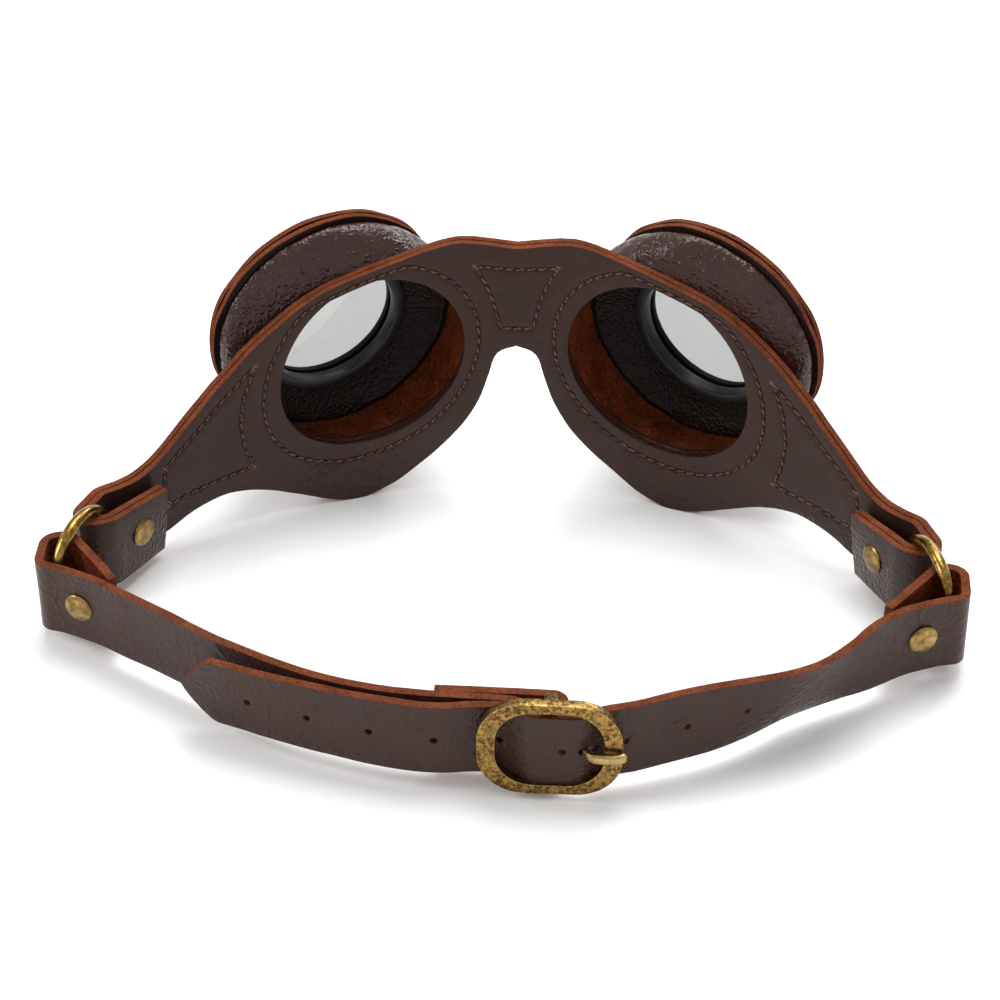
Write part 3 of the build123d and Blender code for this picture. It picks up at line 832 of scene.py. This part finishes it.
def on_left_strap(s, z, t):
    place, left = left_route.at(s)
    lean = -0.9 * math.exp(-(((place.x + 60) / 25) ** 2)) * min(1, s / 40)
    ripple = noise.noise(Vector((s / 12, z / 15, 9.0)))
    calm = min(1, max(0, (left_route.length - s) / 50))
    t += lean * (z - mid_height) / (2 * tab_half) + 0.22 * ripple * calm
    return Vector((place.x + left.x * t, place.y + left.y * t, z))


def strap_outline(length, tip):
    low, high = mid_height - tab_half, mid_height + tab_half
    steps = [3.0 * k for k in range(1, int(length / 3))]
    steps = [s for s in steps if s < length - (9.5 if tip else 1.5)]
    edge = [Vector((0.3, high)), Vector((0.0, mid_height + 3)), Vector((0.2, mid_height - 4)),
            Vector((0.1, low)), *[Vector((s, low)) for s in steps]]
    if tip:
        edge += [Vector((length - a, mid_height - b)) for a, b in
                 ((8.0, 9.0), (6.6, 8.3), (4.6, 6.5), (2.5, 4.1), (0.9, 1.9), (0, 0))]
        edge += [Vector((length - a, mid_height + b)) for a, b in
                 ((0.9, 1.9), (2.5, 4.1), (4.6, 6.5), (6.6, 8.3), (8.0, 9.0))]
    else:
        edge += [Vector((length, low)), Vector((length + 0.2, mid_height)), Vector((length, high))]
    edge += [Vector((s, high)) for s in reversed(steps)]
    for spot in edge:
        spot.y += 0.14 * noise.noise(Vector((spot.x / 6, spot.y, 1.0)))
    return edge


def punched(s, radius):
    return [Vector((s + radius * math.cos(a), mid_height + radius * math.sin(a)))
            for a in (2 * math.pi * k / 14 for k in range(14))]


hole_radius, hole_pitch, hole_first = 0.85, 14.0, 16.0
holes = [punched(right_route.length - hole_first - hole_pitch * k, hole_radius) for k in range(9)]
slot_from, slot_to = right_route.nearest((22.9, -70.6)), right_route.nearest((19.7, -72.6))
slot_low, slot_high = mid_height - 0.9, mid_height + 0.9
prong_slot = [Vector(p) for p in
              ((slot_from, slot_low), (slot_to, slot_low), (slot_to + 0.4, mid_height),
               (slot_to, slot_high), (slot_from, slot_high), (slot_from - 0.4, mid_height))]
holes = [h for h in holes if not slot_from - 3 < h[0].x < slot_to + 3]
bm = cut_hide(strap_outline(right_route.length, True), [*holes, prong_slot], (), strap_steps,
              [ring_fold])
# The prong slot's cut edges get the dark grain colour: painted shade in the slot.
thicken(bm, strap_half, -strap_half, 0, 0.26,
        lambda s, z: slot_from - 1 < s < slot_to + 1 and abs(z - mid_height) < 2)
bend(bm, on_right_strap)
add_piece("strap_hide_right", bm, [strap_hide, raw_edge, suede], "band", "brown_leather",
          "strap_right")
bar_slot = left_route.nearest((16.1, -67.8))
slot_half_long, slot_half_tall = 6.5, 1.7    # the slot in the fold that lets the prong swing, mm
slot = [Vector((bar_slot + a * slot_half_long, mid_height + b * slot_half_tall))
        for a, b in ((-1, -1), (1, -1), (1, 1), (-1, 1))]
bm = cut_hide(strap_outline(left_route.length, False), [slot], (), strap_steps,
              [ring_fold, (left_route.nearest((6, -67.4)), bar_slot + 14, 0.5)])
thicken(bm, -strap_half, strap_half, 0, 0.26)
bend(bm, on_left_strap)
add_piece("strap_hide_left", bm, [strap_hide, raw_edge, suede], "band", "brown_leather",
          "strap_left")

# Rivets: brass cap rivets set through the folds, a low dome on the showing side and the
# same dome behind, closed on a tubular post.
cap_radius, seat_cap_radius = 3.5, 2.5
cap_thick = 0.95
post_radius = 1.3
tab_cap_in, tab_back_in = 8.7, 5.2           # along the folded-back leaf, and along the tab
rivet_brass = aged_brass("antique_brass_rivet", "#6e5a34", "#a68a52", "#cdb98a", 0.30, 2.2)


def join(bm, made):
    """Adds a second mesh to the first."""
    mesh = bpy.data.meshes.new("made")
    made.to_mesh(mesh)
    made.free()
    bm.from_mesh(mesh)
    bpy.data.meshes.remove(mesh)


def dome(bm, spot, out, radius, thick):
    """A domed cap standing on a spot, turned from half its section."""
    shares = ((0, 1), (0.35, 0.97), (0.65, 0.86), (0.86, 0.62), (0.96, 0.34), (1, 0.12),
              (0.97, 0), (0, 0))
    profile = [(radius * r, thick * h) for r, h in shares]
    made = bmesh.new()
    verts = [made.verts.new((r, 0, h)) for r, h in profile]
    edges = [made.edges.new(pair) for pair in zip(verts, verts[1:])]
    bmesh.ops.spin(made, geom=verts + edges, cent=(0, 0, 0), axis=(0, 0, 1), dvec=(0, 0, 0),
                   angle=2 * math.pi, steps=40, use_merge=True)
    bmesh.ops.remove_doubles(made, verts=made.verts[:], dist=1e-4)
    turn = out.to_track_quat("Z", "Y").to_matrix().to_4x4()
    bmesh.ops.transform(made, matrix=Matrix.Translation(spot) @ turn, verts=made.verts[:])
    join(bm, made)


def post(bm, start, end):
    turn = (end - start).to_track_quat("Z", "Y").to_matrix().to_4x4()
    bmesh.ops.create_cone(bm, cap_ends=True, segments=20, radius1=post_radius, radius2=post_radius,
                          depth=(end - start).length,
                          matrix=Matrix.Translation((start + end) / 2) @ turn)


def set_rivet(stem, side, face, face_out, back, back_out, radius, body, flip):
    """A rivet's domed cap with its post, and its back cap."""
    bm = bmesh.new()
    dome(bm, face, face_out, radius, cap_thick)
    post(bm, face + face_out * 0.3, back.lerp(face, 0.25))
    bmesh.ops.transform(bm, matrix=flip, verts=bm.verts[:])
    add_piece(f"{stem}_cap{side}", bm, [rivet_brass], body, "antique_brass", stem + side)
    bm = bmesh.new()
    dome(bm, back, back_out, radius, cap_thick)
    bmesh.ops.transform(bm, matrix=flip, verts=bm.verts[:])
    add_piece(f"{stem}_back_cap{side}", bm, [rivet_brass], body, "antique_brass",
              f"{stem}_back{side}")


def run_spot(start, end, distance, offset):
    """A point at mid height beside a straight run, and the way out from it."""
    run = (Vector(end) - Vector(start)).normalized()
    out = Vector((-run.y, run.x, 0)) * math.copysign(1, offset)
    spot = Vector(start) + run * distance
    return Vector((spot.x, spot.y, mid_height)) + out * abs(offset), out


for side, flip in both_sides:
    u = leaf_end - tab_cap_in
    high = mid_height + leaf_drop * leaf_share(u)
    face = on_mask(u, high, hide_to)
    face_out = (on_mask(u, high, hide_to + 1) - face).normalized()
    u = along_mask(84) + tab_back_in
    back = on_mask(u, mid_height, hide_to)
    back_out = (on_mask(u, mid_height, hide_to + 1) - back).normalized()
    set_rivet("tab_rivet", f"_{side}", face, face_out, back, back_out, cap_radius, "mask", flip)
    face, face_out = run_spot(loop_plan[-1], right_plan[0], 5.6, strap_half + 0.2)
    back, back_out = run_spot(loop_plan[0], loop_plan[1], 8.6, strap_half)
    set_rivet("strap_rivet", f"_{side}", face, face_out, back, back_out, cap_radius, "band", flip)
face, face_out = run_spot(left_plan[7], left_plan[8], 5.1, -strap_half)
back, back_out = run_spot(left_plan[-1], left_plan[-2], 2.5, strap_half)
set_rivet("buckle_seat_rivet", "", face, face_out, back, back_out, seat_cap_radius, "band",
          as_drawn)

# Buckle: a die-cast brass frame, flat with rounded corners and softly bevelled edges, with
# a bar on two lugs behind. Patina stays on its flats. Its bevelled edges are painted bright:
# metal worn bare, and a painted highlight.
buckle_middle = Vector((13.5, 0, mid_height + 0.9))
buckle_front, buckle_back = -74.2, -71.9
buckle_wide, buckle_tall = 30.8, 24.4
side_bar, rail = 3.8, 2.3
bar_y, bar_radius = -67.8, 1.3
outer_corner, window_corner, cast_bevel = 10.0, 8.0, 0.6
buckle_brass = aged_brass("antique_brass_casting", "#4c381b", "#a5834a", "#dcc088", 0.34, 0.9)


def rounded_box(half_x, half_z, radius, steps=10):
    line = []
    for cx, cz, start in ((1, 1, 0), (-1, 1, 90), (-1, -1, 180), (1, -1, 270)):
        for k in range(steps + 1):
            a = math.radians(start + 90 * k / steps)
            line.append(Vector((cx * (half_x - radius) + radius * math.cos(a),
                                cz * (half_z - radius) + radius * math.sin(a))))
    return spaced(line, 1.1)


bm = bmesh.new()
burnish_and_painted_light_layer = bm.verts.layers.float.new("burnish_and_painted_light")
outer = flat_ring(bm, rounded_box(buckle_wide / 2, buckle_tall / 2, outer_corner))
window = flat_ring(bm, rounded_box(buckle_wide / 2 - side_bar, buckle_tall / 2 - rail,
                                   window_corner))
bmesh.ops.triangle_fill(bm, use_beauty=True, edges=outer + window, normal=(0, -1, 0))
notch_height, notch_half, notch_depth = -0.9, 1.3, 0.55
for height in (notch_height + k for k in (-2, -1, 0, 1, 2)):
    bar = [f for f in bm.faces if f.calc_center_median().x > 4]
    bmesh.ops.bisect_plane(bm, geom=list({e for f in bar for e in (*f.verts, *f.edges)}) + bar,
                           dist=1e-4, plane_co=(0, 0, height), plane_no=(0, 0, 1))
bmesh.ops.solidify(bm, geom=bm.faces[:], thickness=buckle_back - buckle_front)
for vert in bm.verts:
    vert.co.y = buckle_front if abs(vert.co.y) < 1e-5 else buckle_back
bmesh.ops.recalc_face_normals(bm, faces=bm.faces[:])
bm.normal_update()
corners = [e for e in bm.edges if len(e.link_faces) == 2
           and sum(abs(f.normal.y) < 0.5 for f in e.link_faces) == 1]
made = bmesh.ops.bevel(bm, geom=corners, offset=cast_bevel, segments=3, profile=0.5,
                       affect="EDGES", material=-1, clamp_overlap=True)
# Bevel vertices are marked to be painted bright: metal worn bare, and a painted highlight along the
# edges.
rounded = set(made["faces"])
for vert in {v for f in rounded for v in f.verts}:
    vert[burnish_and_painted_light_layer] = 0.9 if rounded.issuperset(vert.link_faces) else 0.0
for vert in bm.verts:
    if vert.co.x > buckle_wide / 2 - side_bar - 0.5 and vert.co.y < -72.5:
        vert.co.y += notch_depth * math.exp(-(((vert.co.z - notch_height) / notch_half) ** 2))
bmesh.ops.translate(bm, vec=buckle_middle, verts=bm.verts[:])
lug_wide, lug_thick, lug_slope = 3.6, 2.0, 1.1
bar_low, bar_high = 3.0, 23.4
for height, slope in ((bar_low, 0), (bar_high + 0.4, lug_slope)):
    middle = Vector((buckle_middle.x, (buckle_back - 0.5 + bar_y + 1.5) / 2, height))
    cube = bmesh.ops.create_cube(bm, size=1, matrix=Matrix.Translation(middle) @ Matrix.Diagonal(
        (lug_wide, bar_y + 2.0 - buckle_back, lug_thick, 1)))["verts"]
    for vert in cube:
        if vert.co.y > bar_y:
            vert.co.x = middle.x + (vert.co.x - middle.x) * 0.75
            vert.co.z -= slope if vert.co.z > height else 0
    edges = list({e for v in cube for e in v.link_edges})
    bmesh.ops.bevel(bm, geom=edges, offset=cast_bevel, segments=4, profile=0.5, affect="EDGES",
                    material=-1)
bar_middle = (buckle_middle.x, bar_y, (bar_low + bar_high) / 2)
bmesh.ops.create_cone(bm, cap_ends=True, segments=24, radius1=bar_radius, radius2=bar_radius,
                      depth=bar_high - bar_low, matrix=Matrix.Translation(bar_middle))
add_piece("buckle_casting", bm, [buckle_brass], "buckle_frame", "antique_brass", "buckle_frame")

# Prong: bent brass wire, flattened, curled round the bar and worn brighter towards its tip,
# where it drops into the notch of the right-hand side.
prong_route = soft_route([(15.3, -68.8), (19.6, -70.3), (22.4, -74.9), (24.2, -75.25),
                          (27.6, -75.25), (29.3, -74.4)])
prong_half, prong_thick = 1.1, 0.85
eye_radius, eye_half_thick, eye_half_wide = bar_radius + 0.93, 0.75, 1.0
bm = bmesh.new()
burnish_and_painted_light_layer = bm.verts.layers.float.new("burnish_and_painted_light")
bmesh.ops.create_grid(bm, x_segments=30, y_segments=2, size=0.5)
bmesh.ops.rotate(bm, cent=(0, 0, 0), matrix=Matrix.Rotation(math.pi / 2, 3, "X"), verts=bm.verts[:])
for vert in bm.verts:
    share = vert.co.x + 0.5
    taper = 0.75 + 0.3 * min(1, max(0, (share - 0.45) / 0.15))
    vert.co = Vector((share * (prong_route.length + 0.4), 0,
                      mid_height + 2 * prong_half * taper * vert.co.z))
bmesh.ops.solidify(bm, geom=bm.faces[:], thickness=2 * prong_thick)
for vert in bm.verts:
    vert.co.y = -prong_thick if abs(vert.co.y) < 1e-5 else prong_thick
bmesh.ops.recalc_face_normals(bm, faces=bm.faces[:])
bm.normal_update()
corners = [e for e in bm.edges if len(e.link_faces) == 2
           and e.link_faces[0].normal.angle(e.link_faces[1].normal) > 1.0]
bmesh.ops.bevel(bm, geom=corners, offset=0.6, segments=3, profile=0.5, affect="EDGES", material=-1)
for vert in bm.verts:
    vert[burnish_and_painted_light_layer] = 0.1 + 0.35 * min(1, max(0, vert.co.x / prong_route.length))
    place_at, left_of = prong_route.at(vert.co.x)
    t = -vert.co.y
    vert.co = Vector((place_at.x + left_of.x * t, place_at.y + left_of.y * t, vert.co.z))
wire = [(eye_radius + eye_half_thick * math.cos(a), eye_half_wide * math.sin(a))
        for a in (2 * math.pi * k / 12 for k in range(12))]
eye = spun(wire, 32, Matrix.Translation((buckle_middle.x, bar_y, mid_height)))
join(bm, eye)
add_piece("buckle_prong_wire", bm, [buckle_brass], "buckle_prong", "antique_brass", "buckle_prong")

# Table, light and camera: a plain pale floor in a bright tent, a broad lamp above and two
# side lamps that put soft highlights on the waxed leather.
floor_paint, tree, surface, place = new_material("white_matt_board")
surface.inputs["Base Color"].default_value = linear("#fbfbfb")
surface.inputs["Roughness"].default_value = 0.9
surface.inputs["Specular IOR Level"].default_value = 0.1
bm = bmesh.new()
bmesh.ops.create_grid(bm, x_segments=1, y_segments=1, size=4.0)
mesh = bpy.data.meshes.new("floor")
bm.to_mesh(mesh)
bm.free()
mesh.materials.append(floor_paint)
floor = bpy.data.objects.new("floor", mesh)
bpy.context.scene.collection.objects.link(floor)

world = bpy.data.worlds.new("tent")
bpy.context.scene.world = world
world.use_nodes = True
world.node_tree.nodes["Background"].inputs["Color"].default_value = (1.0, 1.0, 1.0, 1.0)
world.node_tree.nodes["Background"].inputs["Strength"].default_value = 0.75
lamps = {
    "lamp_above": ((0.05, 0.25, 0.75), 0.5, 5.0),
    "lamp_left": ((-0.7, -0.1, 0.45), 0.35, 2.2),
    "lamp_back": ((0.35, 0.75, 0.5), 0.4, 3.0),
}
for name, (spot, size, power) in lamps.items():
    light = bpy.data.lights.new(name, "AREA")
    light.size, light.energy = size, power
    lamp = bpy.data.objects.new(name, light)
    lamp.location = spot
    lamp.rotation_euler = (Vector((0, 0, 0.03)) - Vector(spot)).to_track_quat("-Z", "Y").to_euler()
    bpy.context.scene.collection.objects.link(lamp)
bpy.context.scene.view_settings.view_transform = "Standard"

azimuth, elevation, distance = math.radians(3.44), math.radians(38), 0.7
back = Vector((math.sin(azimuth) * math.cos(elevation), -math.cos(azimuth) * math.cos(elevation),
               math.sin(elevation)))
camera = bpy.data.objects.new("camera", bpy.data.cameras.new("camera"))
camera.location = DRAWING_SHIFT * MM + back * distance
camera.rotation_euler = (-back).to_track_quat("-Z", "Y").to_euler()
camera.data.lens, camera.data.sensor_width = 108.36, 36.0
camera.data.shift_x, camera.data.shift_y = -0.0065, 0.0845
camera.data.clip_start, camera.data.clip_end = 0.01, 20.0
bpy.context.scene.collection.objects.link(camera)
bpy.context.scene.camera = camera
